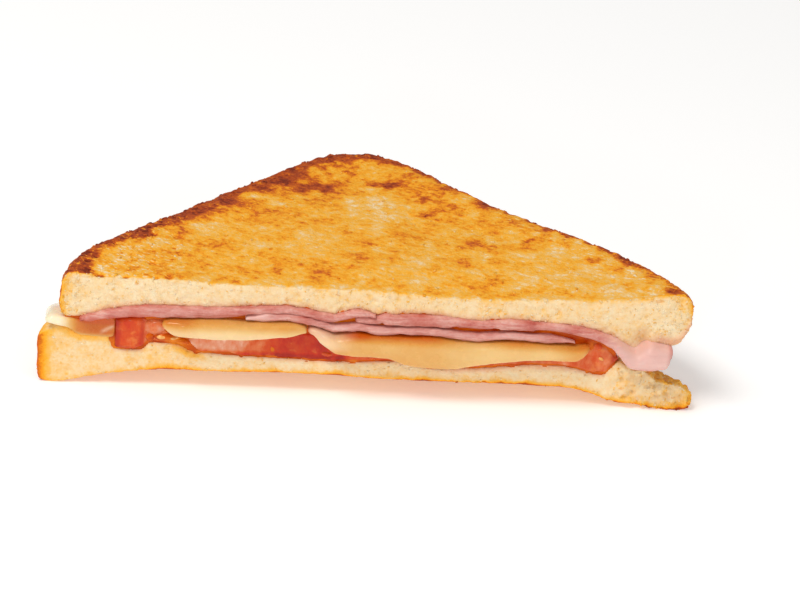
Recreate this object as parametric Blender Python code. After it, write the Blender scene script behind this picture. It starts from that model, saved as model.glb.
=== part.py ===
"""Half of a toasted sandwich with ham, melted cheese and tomato, cut from corner to corner.

X runs along the cut face, left to right, Y from the cut face to the far corner, and Z up. The half lies
flat, on the crust rim under its two uncut sides. Every layer is a loft of cross-sections along X, and
the layers share their stations, so that neighbours stay a constant gap apart.
"""

import math

import bmesh
import bpy
import numpy as np

MM = 0.001

# The two uncut sides of the half slice, drawn out to sharp corners, and the rounding of its corners
LEFT_SIDE = 113.7 * MM
RIGHT_SIDE = 125.3 * MM
END_RADIUS = 29 * MM
FAR_RADIUS = 15 * MM

# The left sharp corner of each slice. The lower slice has slid a little to the left, and is a little
# smaller, with a tighter right corner
TOP_CORNER_X = -81.3 * MM
BOTTOM_CORNER_X = -86.2 * MM
BOTTOM_SCALE = 0.985
BOTTOM_RIGHT_RADIUS = 10 * MM

# Where the loaf's sides bulge out of their straight lines: the middle x, half the width and the height
# of each bulge, in millimetres
SIDE_BULGES = ((10.5, 15.0, 3.6), (57.0, 16.0, 1.6), (-50.0, 16.0, 1.3))

# The crust: its shoulders, its belly between them, and the flat rim that it stands on
TOP_SHOULDER = 3.6 * MM
SMALL_SHOULDER = 2.0 * MM
CRUST_BELLY = 0.9 * MM
FLAT_RIM = 5.5 * MM
RIM_RAISE = 0.7 * MM
RIM_START, RIM_FALL = 3 * MM, 7 * MM
BELLY_RISE = 12 * MM

# The slow unevenness of the toasted face
RIPPLE_HEIGHT = 0.45 * MM

# How high the underside arches off the table behind the cut and near the far corner, and how wide the
# rise is
ARCH_NEAR = 4.6 * MM
ARCH_FAR = 2.4 * MM
ARCH_RISE = 17 * MM
ARCH_FADE = 45 * MM

# The lower slice is squeezed thin at its right end, and the upper slice's right end leans in underneath
THIN_END_RIM = 4.4 * MM
THIN_END_START, THIN_END_FULL = 42 * MM, 64 * MM
LEAN_WIDTH, LEAN_HEIGHT = 5.0 * MM, 5.4 * MM
LEAN_START, LEAN_FULL = 60 * MM, 73 * MM

# The clear gap between neighbours at the surface and inside, and the depth over which the cut's own
# shape fades into the hidden one
GAP = 0.3 * MM
INNER_GAP = 0.65 * MM
FADE = 14 * MM

# Heights inside the sandwich, at the crust and in the middle
SEAT_RIM, SEAT_MIDDLE = 11.2 * MM, 8.4 * MM
FILLING_RIM, FILLING_MIDDLE = 12.2 * MM, 14.0 * MM
HAM_RIM, HAM_MIDDLE = 18.0 * MM, 21.0 * MM
TOP_MIDDLE = 27.3 * MM
RIM_WIDTH = 12 * MM

# Sheet thicknesses
HAM_THICK = 1.25 * MM
HAM_FLAP_THICK = 1.6 * MM

# Profiles of the cut face, as (x, z) stations in millimetres
UNDERSIDE_STATIONS = (
    (-76.0, 0.0), (-73.0, 0.0), (-60.0, 2.6), (-47.0, 4.3), (-35.0, 4.5), (-15.5, 4.9), (13.6, 4.4),
    (33.6, 4.7), (45.0, 4.6), (52.3, 3.1), (57.2, 1.4), (63.3, 0.9), (68.0, 0.0), (76.0, 0.0),
)
SEAT_STATIONS = (
    (-75.6, 12.6), (-70.4, 14.5), (-66.4, 12.8), (-59.7, 12.6), (-58.7, 9.1), (-51.8, 9.3),
    (-50.6, 11.2), (-45.5, 11.3), (-40.0, 9.2), (-24.0, 8.7), (-8.0, 8.4), (7.0, 9.2),
    (14.0, 7.8), (26.0, 8.5), (39.0, 10.0), (45.0, 10.0), (54.4, 8.1), (58.0, 12.2),
    (60.5, 10.1), (63.6, 9.8), (67.5, 7.2), (72.4, 6.3), (75.6, 4.5),
)
HAM_OVER_STATIONS = (
    (-71.5, 16.4), (-66.5, 16.9), (-59.3, 19.2), (-52.0, 20.4), (-35.0, 20.8), (-19.0, 22.0),
    (-8.6, 20.4), (-3.0, 22.0), (1.5, 21.1), (12.4, 21.4), (25.0, 20.4), (31.0, 21.1),
    (44.0, 20.6), (51.0, 19.6), (57.0, 17.4), (61.5, 14.9), (64.8, 17.2), (70.0, 16.2),
    (73.8, 17.2),
)
TOP_OVER_STATIONS = (
    (-71.5, 28.4), (-60.0, 27.5), (-48.0, 27.7), (-36.0, 26.9), (7.0, 26.7), (20.0, 26.0),
    (43.0, 26.8), (60.7, 27.9), (67.4, 29.3), (73.8, 29.6),
)
FILLING_STATIONS = (
    (-47.5, 15.4), (-35.0, 15.2), (-18.0, 16.4), (-14.0, 15.6), (0.0, 14.4), (45.0, 14.2),
    (50.4, 14.8),
)

# How far each layer lies below the ham's upper surface at the cut, in millimetres
CHEESE_DROP = (
    (-47.5, 2.5), (-33.0, 2.4), (-30.0, 3.2), (-13.0, 3.2), (-5.0, 4.8), (3.0, 4.5), (47.6, 4.5),
    (50.4, 3.3),
)
HAM_LEFT_THICKNESS = (
    (-66.5, 0.5), (-59.0, 1.7), (-50.0, 2.2), (-34.0, 2.0), (-29.5, 1.25), (-4.0, 1.2), (0.8, 0.4),
)
HAM_LOWER_DROP = ((-29.0, 1.65), (-12.0, 1.65), (-4.6, 3.25), (3.0, 3.0), (47.6, 2.9))
HAM_RIGHT_DROP = ((-3.5, 1.65), (0.8, 0.85), (3.2, 0.0), (69.6, 0.0))
HAM_INNER_DROP = 1.5 * MM
HAM_INNER_THICK = 1.05 * MM
HAM_INNER_DEPTH = 11 * MM
HAM_FOLD_DEPTH = 9 * MM

# How far the sheets may overhang the lower slice's crust, how much longer a step along Y is than one
# square to the slanting crust, the least depth of a sheet, and the least share of its thickness that a
# melted sheet keeps at its ends
OVERHANG = 2 * MM
SLANT = 1.4
LEAST_DEPTH = 2 * MM
LEAST_END = 0.3

# The same drops far behind the cut, and where the layers have settled to them
HIDDEN_LOWER_DROP = 2.1 * MM
HIDDEN_CHEESE_DROP = 3.6 * MM
SETTLED = 22 * MM

# Lower edges of what hangs over the cut: the two cheese lips and the ham's flap
LEFT_LIP_STATIONS = (
    (-47.5, 15.6), (-45.0, 14.5), (-35.0, 14.2), (-27.0, 14.6), (-18.0, 15.6), (-14.6, 15.8),
)
RIGHT_LIP_STATIONS = (
    (-14.2, 16.4), (-11.3, 14.4), (-7.0, 12.0), (2.6, 11.8), (9.7, 9.9), (20.0, 9.7),
    (26.0, 11.1), (33.0, 12.3), (39.0, 13.1), (47.4, 13.1), (50.4, 14.8),
)
FLAP_STATIONS = (
    (46.0, 19.0), (51.0, 17.8), (55.3, 16.2), (58.1, 14.0), (60.5, 11.9), (66.8, 11.7),
    (68.4, 12.4), (69.6, 14.6),
)

# The melted corner at the left end, over and under
CORNER_OVER_STATIONS = ((-74.2, 16.4), (-72.6, 17.2), (-71.0, 16.4), (-66.5, 16.3), (-59.7, 17.2))
CORNER_UNDER_STATIONS = ((-74.2, 15.3), (-71.9, 14.9), (-69.5, 14.7), (-66.0, 13.3), (-59.7, 13.0))

# How far the lips and the flap reach out of the cut, and how thick they are
LIP_REACH = 3.6 * MM
LIP_THICK = 3.2 * MM
LEFT_LIP_REACH = 3.0 * MM
LEFT_LIP_THICK = 2.7 * MM
FLAP_REACH = 3.3 * MM

# Tomato rounds: the middle of each and its radius in plan, in millimetres, and its upper edge at the cut
LEFT_ROUND = (-50.3, 4.0, 8.9)
MIDDLE_ROUND = (-16.8, 13.0, 28.1)
RIGHT_ROUND = (33.2, 5.0, 24.9)
LEFT_TOMATO_STATIONS = (
    (-58.3, 17.1), (-52.0, 17.5), (-50.8, 16.9), (-48.6, 16.7), (-47.4, 13.8), (-42.3, 12.8),
)
RIGHT_TOMATO_STATIONS = ((8.0, 13.9), (44.0, 13.9), (51.2, 14.6), (52.2, 16.9), (54.0, 16.0), (57.6, 12.9))
LEFT_TOMATO_LIFT = ((-58.3, 0.5), (-52.8, 0.4), (-51.4, 1.3), (-50.0, 0.6), (-42.3, 0.5))
MIDDLE_TOMATO_LIFT = ((-42.0, 2.6), (-39.6, 0.3), (8.4, 0.3))
RIGHT_TOMATO_LIFT = ((8.0, 0.3), (54.0, 0.3), (55.5, 0.9), (57.6, 0.4))

# Where each sheet starts and ends along the cut, and how far it stands proud of the cut, in millimetres
SHEET_SPANS = {
    "ham_left": (-66.5, 0.8), "ham_right": (-3.5, 69.6), "ham_inner": (4.0, 46.0), "ham_lower": (-29.0, 47.6),
    "cheese_left": (-47.5, -14.8), "cheese_right": (-14.4, 50.4), "cheese_corner": (-74.2, -59.7),
}
SHEET_PROUD = {"ham_left": 0.3, "ham_right": 0.2, "ham_inner": -1.1, "ham_lower": 0.7}
CHEESE_PROUD = 0.1 * MM
PLAIN_REACH = 0.5 * MM
INNER_REACH = 0.2 * MM
CORNER_REACH = 0.8 * MM

# Hidden back edges of the sheets: the distance from the crust, and the sway, pitch and phase of the
# wander about it, all but the phase in millimetres
BACK_EDGES = {
    "ham_left": (1.0, 1.2, 31.0, 0.4), "ham_right": (0.6, 1.3, 37.0, 2.1), "ham_lower": (2.2, 1.4, 29.0, 3.3),
    "cheese_left": (1.6, 1.0, 26.0, 1.0), "cheese_right": (1.4, 1.2, 33.0, 4.0),
}
CORNER_BACK = 3.5 * MM
CORNER_DEPTH = 2.2 * MM

# Where the right ham thickens into the flap and starts to hang, and where its fold over the left ham ends
FLAP_START = 44 * MM
FLAP_THICKENS, FLAP_HANGS = 10 * MM, 14 * MM
FLAP_LEAST = 0.2
FOLD_END, FOLD_FADE = 3.2 * MM, 2.4 * MM
FOLD_KNOTS = (3.0, 4.9, 6.1)

# The edge of a tomato round, its setback from the cut, and the room that the ham needs above it
TOMATO_EDGE = 1.6 * MM
TOMATO_SETBACK = 0.25 * MM
ROOM_FOR_HAM = 2.1 * MM

# The mesh: the spacing of the stations along X, the closer ones at the ends, and the rows along Y from
# the cut and from the crust, in millimetres where not in metres
STATION_STEP = 4.0 * MM
BREAD_ENDS = (0.0, 0.3, 1.0, 2.2, 4.0, 6.4)
SHEET_ENDS = (0.0, 1.2)
CHEESE_ENDS = (0.0, 0.5, 1.5, 3.0)
CORNER_ENDS = (0.0, 0.4, 1.2, 2.4)
TOMATO_ENDS = (0.0, 0.4, 1.2, 2.6)
FRONT_ROWS = (0, 5, 12)
BREAD_ROWS = (26, 16, 10, 5.5, 2.2, 0.7, 0)
SHEET_ROWS = (14, 7, 2.5, 0)
TOMATO_ROWS = (8, 3, 1, 0)
BELLY_SHARES = (0.35, 0.7)
WELD = 0.002 * MM
SHARP_ANGLE = math.radians(40)

COLOURS = {
    "bread_bottom": ((0.88, 0.66, 0.38), 0.85),
    "bread_top": ((0.82, 0.46, 0.13), 0.75),
    "ham": ((0.80, 0.40, 0.36), 0.45),
    "cheese": ((0.87, 0.55, 0.20), 0.35),
    "tomato": ((0.70, 0.11, 0.05), 0.30),
}


def smooth(t):
    """A soft step from 0 to 1."""
    t = np.clip(t, 0.0, 1.0)
    return t * t * (3.0 - 2.0 * t)


def mix(a, b, share):
    return a + (b - a) * share


def curve(stations):
    """A smooth curve, in metres, through stations in millimetres, that doesn't swing past them."""
    xs, zs = np.array(stations).T * MM
    steps = np.diff(zs) / np.diff(xs)
    before, after = steps[:-1], steps[1:]
    product = before * after
    slopes = np.zeros(len(xs))
    turning = np.where(before + after == 0, 1.0, before + after)
    slopes[1:-1] = np.where(product > 0, 2 * product / turning, 0.0)

    def at(x):
        x = np.clip(x, xs[0], xs[-1])
        i = np.clip(np.searchsorted(xs, x) - 1, 0, len(xs) - 2)
        width = xs[i + 1] - xs[i]
        t = (x - xs[i]) / width
        rest = 1 - t
        ends = zs[i] * (1 + 2 * t) * rest**2 + zs[i + 1] * (3 - 2 * t) * t**2
        return ends + width * (slopes[i] * t * rest**2 - slopes[i + 1] * rest * t**2)

    return at


def arc(centre, radius, start, end, steps=14):
    angles = np.linspace(start, end, steps)
    return [(centre[0] + radius * math.cos(a), centre[1] + radius * math.sin(a)) for a in angles]


def bulged(line):
    """A crust line with its long runs divided, and pushed out along Y where the loaf bulges."""
    points = [line[0]]
    for start, end in zip(line[:-1], line[1:]):
        pieces = int(np.hypot(*(end - start)) // STATION_STEP) + 1
        points += [mix(start, end, (k + 1) / pieces) for k in range(pieces)]
    points = np.array(points)
    for middle, half, height in SIDE_BULGES:
        away = np.clip(np.abs(points[:, 0] / MM - middle) / half, 0, 1)
        points[:, 1] += height * MM * (1 - away**2) ** 2
    return points


class Plan:
    """The crust line of a half slice from above, from its left end round the far corner to its right end."""

    def __init__(self, corner_x, scale, right_radius):
        left, right = LEFT_SIDE * scale, RIGHT_SIDE * scale
        base = math.hypot(left, right)
        lean = math.atan2(right, left)
        square = math.pi / 2
        far = (corner_x + left * math.cos(lean), left * math.sin(lean))
        inwards = lean - math.pi / 4 - square
        inset = FAR_RADIUS * math.sqrt(2)
        far_centre = (far[0] + inset * math.cos(inwards), far[1] + inset * math.sin(inwards))
        left_centre = (corner_x + END_RADIUS / math.sin(lean), 0.0)
        right_centre = (corner_x + base - right_radius / math.cos(lean), 0.0)
        straight = np.array(
            arc(left_centre, END_RADIUS, math.pi, lean + square)
            + arc(far_centre, FAR_RADIUS, lean + square, lean)
            + arc(right_centre, right_radius, lean, 0.0)
        )
        self.line = bulged(straight)
        self.left, self.right = self.line[0, 0], self.line[-1, 0]

    def back(self, x):
        """How deep the slice is at x."""
        return np.interp(x, self.line[:, 0], self.line[:, 1])

    def stretch(self, x):
        """How much longer a step along Y is than the same step square to the crust."""
        reach = 0.5 * MM
        slope = (self.back(x + reach) - self.back(x - reach)) / (2 * reach)
        return min(math.hypot(1.0, slope), 1.6)

    def inset(self, x, y):
        """The distance from a point inside the slice to its crust."""
        start, run = self.line[:-1], np.diff(self.line, axis=0)
        to_point = np.array((x, y)) - start
        share = np.clip((to_point * run).sum(1) / (run * run).sum(1), 0, 1)
        return np.hypot(*(to_point - run * share[:, None]).T).min()


TOP = Plan(TOP_CORNER_X, 1.0, END_RADIUS)
BOTTOM = Plan(BOTTOM_CORNER_X, BOTTOM_SCALE, BOTTOM_RIGHT_RADIUS)

seat_front = curve(SEAT_STATIONS)
underside_front = curve(UNDERSIDE_STATIONS)
ham_front = curve(HAM_OVER_STATIONS)
top_front = curve(TOP_OVER_STATIONS)
filling_front = curve(FILLING_STATIONS)


def gap(y):
    return mix(GAP, INNER_GAP, smooth(y / (0.5 * FADE)))


def shoulder(inset, width, height=None):
    """How far a rounded edge falls away at this distance from the crust."""
    short = max(1 - inset / width, 0.0)
    return (height or width) * (1 - math.sqrt(1 - short**2))


def inside(plan, x, y, rim, middle):
    """A hidden height that runs from the rim's to the middle's."""
    return mix(rim, middle, smooth((plan.inset(x, y) - RIM_START) / RIM_WIDTH))


def ripple(x, y):
    """The slow unevenness of a toasted face, from -1 to 1."""
    a, b = x / MM, y / MM
    return 0.5 * math.sin(0.11 * a + 0.07 * b + 1.3) + 0.5 * math.sin(0.16 * b - 0.09 * a + 0.4)


def underside(x, y):
    """The table side of the lower slice: flat along the rim, arched inside it."""
    inset = BOTTOM.inset(x, y)
    arch = mix(ARCH_NEAR, ARCH_FAR, smooth(y / ARCH_FADE))
    hidden = arch * smooth((inset - FLAT_RIM) / ARCH_RISE)
    return mix(underside_front(x), hidden, smooth(y / FADE)) + shoulder(inset, SMALL_SHOULDER)


def seat(x, y):
    """The lower slice's upper face, dented by the filling."""
    thin = smooth((x - THIN_END_START) / (THIN_END_FULL - THIN_END_START))
    hidden = inside(BOTTOM, x, y, mix(SEAT_RIM, THIN_END_RIM, thin), mix(SEAT_MIDDLE, THIN_END_RIM, thin))
    return mix(seat_front(x), hidden, smooth(y / FADE))


def seat_edge(x, y):
    return seat(x, y) - shoulder(BOTTOM.inset(x, y), SMALL_SHOULDER)


def filling(x, y):
    """The face between tomato and cheese."""
    hidden = inside(TOP, x, y, FILLING_RIM, FILLING_MIDDLE)
    return mix(filling_front(x), hidden, smooth(y / FADE))


def ham_over(x, y):
    """The upper face of the ham, which the upper slice lies on."""
    return mix(ham_front(x), inside(TOP, x, y, HAM_RIM, HAM_MIDDLE), smooth(y / FADE))


def top_under(x, y):
    lean = smooth((x - LEAN_START) / (LEAN_FULL - LEAN_START))
    inset = TOP.inset(x, y)
    edge = shoulder(inset, mix(SMALL_SHOULDER, LEAN_WIDTH, lean), mix(SMALL_SHOULDER, LEAN_HEIGHT, lean))
    return ham_over(x, y) + gap(y) + edge


def top_over(x, y):
    """The toasted upper face, with a raised rim that falls away at the crust."""
    inset = TOP.inset(x, y)
    rim = RIM_RAISE * smooth(inset / RIM_START) * smooth(2 - inset / RIM_FALL)
    hidden = TOP_MIDDLE + rim + RIPPLE_HEIGHT * ripple(x, y)
    return mix(top_front(x), hidden, smooth(y / FADE)) - shoulder(inset, TOP_SHOULDER)


def stations(left, right, knots=(), ends=()):
    """X stations from left to right: on the shared grid, at a profile's own knots, and closer at the ends."""
    grid = np.arange(-25, 26) * STATION_STEP
    wanted = np.concatenate([grid, np.array(knots) * MM])
    near = np.array(ends) * MM
    margin = near[-1] + 1.5 * MM if len(near) else 1.2 * MM
    wanted = np.sort(wanted[(wanted > left + margin) & (wanted < right - margin)])
    apart = np.concatenate([[True], np.diff(wanted) > 0.6 * MM])
    edge = near if len(near) else np.zeros(1)
    return np.concatenate([left + edge, wanted[apart], right - edge[::-1]])


def rows(front, back, near_front, near_back, stretch=1.0):
    """Y rows from front to back: some at fixed depths, some at fixed insets, closer where it is shallow."""
    first = np.array(near_front) * MM
    last = np.array(near_back) * MM * stretch
    room = max(back - front, 0.0)
    fit = min(1.0, 0.8 * room / (first[-1] + last[0]))
    return np.concatenate([front + first * fit, back - last * fit])


def loft(name, loops, kind):
    """A closed solid through cross-section loops, in each of which point i faces point n - 1 - i."""
    count = len(loops[0])
    points = [tuple(p) for loop in loops for p in loop]
    faces = []
    for s in range(len(loops) - 1):
        a, b = s * count, (s + 1) * count
        for i in range(count):
            j = (i + 1) % count
            faces.append((a + i, a + j, b + j, b + i))
    for base, turn in ((0, 1), ((len(loops) - 1) * count, -1)):
        for i in range(count // 2 - 1):
            corners = (base + i, base + count - 1 - i, base + count - 2 - i, base + i + 1)
            faces.append(corners[::turn])
    mesh = bpy.data.meshes.new(name)
    mesh.from_pydata(points, [], faces)
    work = bmesh.new()
    work.from_mesh(mesh)
    bmesh.ops.remove_doubles(work, verts=work.verts, dist=WELD)
    bmesh.ops.dissolve_degenerate(work, edges=work.edges, dist=WELD)
    bmesh.ops.triangulate(work, faces=work.faces)
    if work.calc_volume(signed=True) < 0:
        bmesh.ops.reverse_faces(work, faces=work.faces)
    work.to_mesh(mesh)
    work.free()
    mesh.shade_smooth()
    mesh.set_sharp_from_angle(angle=SHARP_ANGLE)
    obj = bpy.data.objects.new(name, mesh)
    mesh.materials.append(material(kind))
    bpy.context.scene.collection.objects.link(obj)
    return obj


def material(kind):
    made = bpy.data.materials.get(kind)
    if made is None:
        colour, roughness = COLOURS[kind]
        made = bpy.data.materials.new(kind)
        made.use_nodes = True
        shader = made.node_tree.nodes["Principled BSDF"]
        shader.inputs["Base Color"].default_value = (*colour, 1.0)
        shader.inputs["Roughness"].default_value = roughness
        shader.inputs["Metallic"].default_value = 0.0
    return made


def bread(name, plan, under, over, knots):
    """A half slice: its cut face is flat, and its crust bellies out between two rounded shoulders."""
    loops = []
    for x in stations(plan.left, plan.right, knots, BREAD_ENDS):
        back, stretch = float(plan.back(x)), plan.stretch(x)
        depths = rows(0.0, back, FRONT_ROWS, BREAD_ROWS, stretch)
        upper = [(x, y, over(x, y)) for y in depths]
        lower = [(x, y, under(x, y)) for y in depths[::-1]]
        belly = back + CRUST_BELLY * stretch * smooth(back / BELLY_RISE)
        high, low = upper[-1][2], lower[0][2]
        waist = [(x, belly, mix(high, low, share)) for share in BELLY_SHARES]
        loops.append(upper + waist + lower)
    return loft(name, loops, name)


def plain_edge(points, front, top, bottom, reach):
    """Points, in (y, z), round the front edge of a sheet that just ends at the cut."""
    angles = (np.arange(points) + 0.5) * math.pi / points
    middle, half = (top + bottom) / 2, (top - bottom) / 2
    return np.stack([front - reach * np.sin(angles), middle + half * np.cos(angles)], axis=1)


def hanging_edge(front, top, bottom, reach, low, thick):
    """Points, in (y, z), round the front edge of a sheet that bends over the cut and hangs down to low."""
    low = min(low, bottom - 0.2 * MM)
    tip = min(thick / 2, 0.45 * (top - low))
    bend = max(top - reach, low + tip + 0.1 * MM)
    inner = min(low + tip, bottom - 0.05 * MM)
    outside, inside_ = front - reach, front - max(reach - thick, 0.15 * MM)
    points = []
    for angle in (30, 60, 90):
        a = math.radians(angle)
        points.append((front - 0.92 * reach * math.sin(a), bend + (top - bend) * math.cos(a)))
    points.append((front - 0.97 * reach, mix(bend, low + tip, 0.5)))
    points.append((outside, low + tip))
    for angle in (45, 90, 135):
        a = math.radians(angle)
        side = (low + tip) if angle <= 90 else inner
        across = mix(outside, inside_, 0.5 - 0.5 * math.cos(a))
        points.append((across, low + (side - low) * (1 - math.sin(a))))
    points.append((inside_, inner))
    for angle in (67, 45, 22):
        a = math.radians(angle)
        points.append((front + (inside_ - front) * math.sin(a), inner + (bottom - inner) * math.cos(a)))
    return np.array(points)


def sheet_loop(x, depths, over, under, edge):
    """One section of a sheet: back to front over the top, round the front edge and back underneath."""
    upper = [(y, over(x, y)) for y in depths[::-1]]
    lower = [(y, under(x, y)) for y in depths]
    section = upper + list(edge(x, upper[-1], lower[0])) + lower
    return [(x, y, z) for y, z in section]


def cut_edge(reach=PLAIN_REACH):
    """A plain cut edge, a little proud of the cut."""
    return lambda x, top, bottom: plain_edge(4, top[0], top[1], bottom[1], reach)


def lip_edge(low_edge, reach, thick, taper):
    """A soft lip that hangs to low_edge where that is below the sheet, and a round edge elsewhere."""

    def at(x, top, bottom):
        share, low = float(taper(x)), float(low_edge(x))
        hanging = hanging_edge(top[0], top[1], bottom[1], reach * share, low, thick * share)
        plain = plain_edge(len(hanging), top[0], top[1], bottom[1], 0.5 * reach * share)
        return mix(plain, hanging, smooth((bottom[1] - low) / (1.2 * MM)))

    return at


def tapered(left, right, radius):
    """From LEAST_END at a sheet's ends to 1 inside them, as a round edge."""

    def at(x):
        near = np.clip(min(x - left, right - x) / radius, 0.0, 1.0)
        return mix(LEAST_END, 1.0, math.sqrt(1 - (1 - near) ** 2))

    return at


def sheet(name, proud, back, over, under, edge, knots=(), end_steps=SHEET_ENDS, limit=None):
    """A thin layer between two faces, from its front edge at the cut to its back edge near the crust."""
    left, right = (v * MM for v in SHEET_SPANS[name])
    loops = []
    for x in stations(left, right, knots, end_steps):
        depths = rows(-proud, back(x), FRONT_ROWS, SHEET_ROWS, SLANT)
        if limit:
            depths = np.minimum(depths, limit(x))
        loops.append(sheet_loop(x, depths, over, under, edge))
    return loft(name, loops, name.split("_")[0])


def near_crust(name):
    """A back edge that wanders in and out near the crust of the slices."""
    inset, sway, pitch, phase = BACK_EDGES[name]

    def at(x):
        wander = sway * math.sin(2 * math.pi * x / (pitch * MM) + phase)
        crust = min(float(TOP.back(x)), float(BOTTOM.back(x)) + OVERHANG)
        return max(crust - (inset + wander) * MM * SLANT, LEAST_DEPTH)

    return at


def ham_sheet(name, drop, hidden_drop, thickness, back, edge, knots, limit=None):
    """A slice of ham at a given drop below the ham's upper face."""

    def over(x, y):
        settled = smooth((y - HAM_INNER_DEPTH) / (SETTLED - HAM_INNER_DEPTH))
        return ham_over(x, y) - mix(float(drop(x)), hidden_drop, settled)

    def under(x, y):
        return over(x, y) - float(thickness(x))

    sheet(name, SHEET_PROUD[name] * MM, back, over, under, edge, knots, limit=limit)


def build_ham():
    left_thick = curve(HAM_LEFT_THICKNESS)
    lower_drop, right_drop = curve(HAM_LOWER_DROP), curve(HAM_RIGHT_DROP)
    right_crust = near_crust("ham_right")

    def right_thick(x):
        return mix(HAM_THICK, HAM_FLAP_THICK, smooth((x - FLAP_START) / FLAP_THICKENS))

    def flap_share(x):
        return mix(FLAP_LEAST, 1.0, smooth((x - FLAP_START) / FLAP_HANGS))

    def fold_limit(x):
        """The fold over the left ham reaches only a little way in."""
        return mix(HAM_FOLD_DEPTH, right_crust(x), smooth((x - FOLD_END) / FOLD_FADE))

    knots = [s[0] for s in HAM_OVER_STATIONS]
    flap = lip_edge(curve(FLAP_STATIONS), FLAP_REACH, HAM_FLAP_THICK, flap_share)
    ham_sheet("ham_left", lambda x: 0.0, 0.0, left_thick, near_crust("ham_left"), cut_edge(), knots)
    ham_sheet("ham_right", right_drop, 0.0, right_thick, right_crust, flap, knots + list(FOLD_KNOTS),
              fold_limit)
    ham_sheet("ham_inner", lambda x: HAM_INNER_DROP, HAM_INNER_DROP, lambda x: HAM_INNER_THICK,
              lambda x: HAM_INNER_DEPTH, cut_edge(INNER_REACH), knots)
    ham_sheet("ham_lower", lower_drop, HIDDEN_LOWER_DROP, lambda x: HAM_THICK, near_crust("ham_lower"),
              cut_edge(), knots)


def cheese_sheet(name, low_edge, reach, thick, knots):
    """A melted slice: a sheet inside the sandwich, with a round lip that hangs over the tomato."""
    left, right = (v * MM for v in SHEET_SPANS[name])
    drop = curve(CHEESE_DROP)
    taper = tapered(left, right, LIP_REACH)

    def raw_over(x, y):
        settled = smooth((y - HAM_INNER_DEPTH) / (SETTLED - HAM_INNER_DEPTH))
        return ham_over(x, y) - mix(float(drop(x)), HIDDEN_CHEESE_DROP, settled) - gap(y)

    def middle(x, y):
        return (raw_over(x, y) + filling(x, y) + gap(y)) / 2

    def over(x, y):
        return mix(middle(x, y), raw_over(x, y), taper(x))

    def under(x, y):
        return mix(middle(x, y), filling(x, y) + gap(y), taper(x))

    sheet(name, CHEESE_PROUD, near_crust(name), over, under, lip_edge(low_edge, reach, thick, taper),
          knots, CHEESE_ENDS)


def build_cheese():
    knots = [s[0] for s in FILLING_STATIONS]
    cheese_sheet("cheese_left", curve(LEFT_LIP_STATIONS), LEFT_LIP_REACH, LEFT_LIP_THICK, knots)
    cheese_sheet("cheese_right", curve(RIGHT_LIP_STATIONS), LIP_REACH, LIP_THICK, knots + [-11.3, 9.7])
    build_corner_cheese()


def build_corner_cheese():
    """The melted corner that seeps out between the slices at the left end, up to the first tomato."""
    left, right = (v * MM for v in SHEET_SPANS["cheese_corner"])
    front_over, front_under = curve(CORNER_OVER_STATIONS), curve(CORNER_UNDER_STATIONS)
    taper = tapered(left, right + CORNER_DEPTH, CORNER_DEPTH)
    ham_thick = curve(HAM_LEFT_THICKNESS)
    ham_start = SHEET_SPANS["ham_left"][0] * MM - PLAIN_REACH

    def bounds(x, y):
        hidden_floor = seat(x, y) + gap(y)
        share = smooth(y / FADE)
        low = max(mix(front_under(x), hidden_floor, share), hidden_floor + 0.15 * MM)
        high = mix(front_over(x), hidden_floor + CORNER_DEPTH, share)
        if x > TOP.left:
            ham = float(ham_thick(x)) + 2 * gap(y) if x > ham_start else gap(y)
            high = min(high, ham_over(x, y) - ham)
        return low, max(high, low + GAP)

    def over(x, y):
        low, high = bounds(x, y)
        return mix((low + high) / 2, high, taper(x))

    def under(x, y):
        low, high = bounds(x, y)
        return mix((low + high) / 2, low, taper(x))

    def back(x):
        return max(float(BOTTOM.back(x)) - CORNER_BACK, LEAST_DEPTH)

    sheet("cheese_corner", 0.0, back, over, under, cut_edge(CORNER_REACH), [s[0] for s in SEAT_STATIONS],
          CORNER_ENDS)


def tomato(name, round_, top_edge, lift, knots):
    """A round of tomato that the cut goes through: flat at the cut, round behind."""
    middle, depth, radius = (v * MM for v in round_)
    half = math.sqrt(radius**2 - depth**2)
    left, right = middle - half, middle + half
    top_edge, lift = curve(top_edge), curve(lift)
    loops = []
    for x in stations(left, right, knots, TOMATO_ENDS):
        back = depth + math.sqrt(max(radius**2 - (x - middle) ** 2, 0.0))
        upper, lower = [], []
        for y in rows(TOMATO_SETBACK, max(back, TOMATO_SETBACK + 5 * WELD), FRONT_ROWS, TOMATO_ROWS):
            inset = radius - math.hypot(x - middle, y - depth)
            fall = shoulder(max(inset, 0.0), TOMATO_EDGE) * smooth(y / (2 * MM))
            roof = min(mix(float(top_edge(x)), filling(x, y) - gap(y), smooth(y / FADE)), ceiling(x, y))
            floor = seat(x, y) + gap(y) + mix(float(lift(x)) - GAP, 0.0, smooth(y / FADE))
            upper.append((x, y, roof - min(fall, 0.4 * (roof - floor))))
            lower.append((x, y, floor + min(fall, 0.4 * (roof - floor))))
        loops.append(upper + lower[::-1])
    return loft(name, loops, "tomato")


def ceiling(x, y):
    """The lowest thing that can lie over a tomato without cheese on it."""
    return ham_over(x, y) - gap(y) - ROOM_FOR_HAM


def build_tomatoes():
    knots = [s[0] for s in SEAT_STATIONS + FILLING_STATIONS]
    tomato("tomato_left", LEFT_ROUND, LEFT_TOMATO_STATIONS, LEFT_TOMATO_LIFT, knots + [-51.0])
    middle_top = tuple((x, z - 0.3) for x, z in FILLING_STATIONS if x < 10)
    tomato("tomato_middle", MIDDLE_ROUND, ((-42.0, 12.9), *middle_top[1:], (8.5, 14.0)),
           MIDDLE_TOMATO_LIFT, knots)
    tomato("tomato_right", RIGHT_ROUND, RIGHT_TOMATO_STATIONS, RIGHT_TOMATO_LIFT, knots + [51.4, 52.4])


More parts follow.
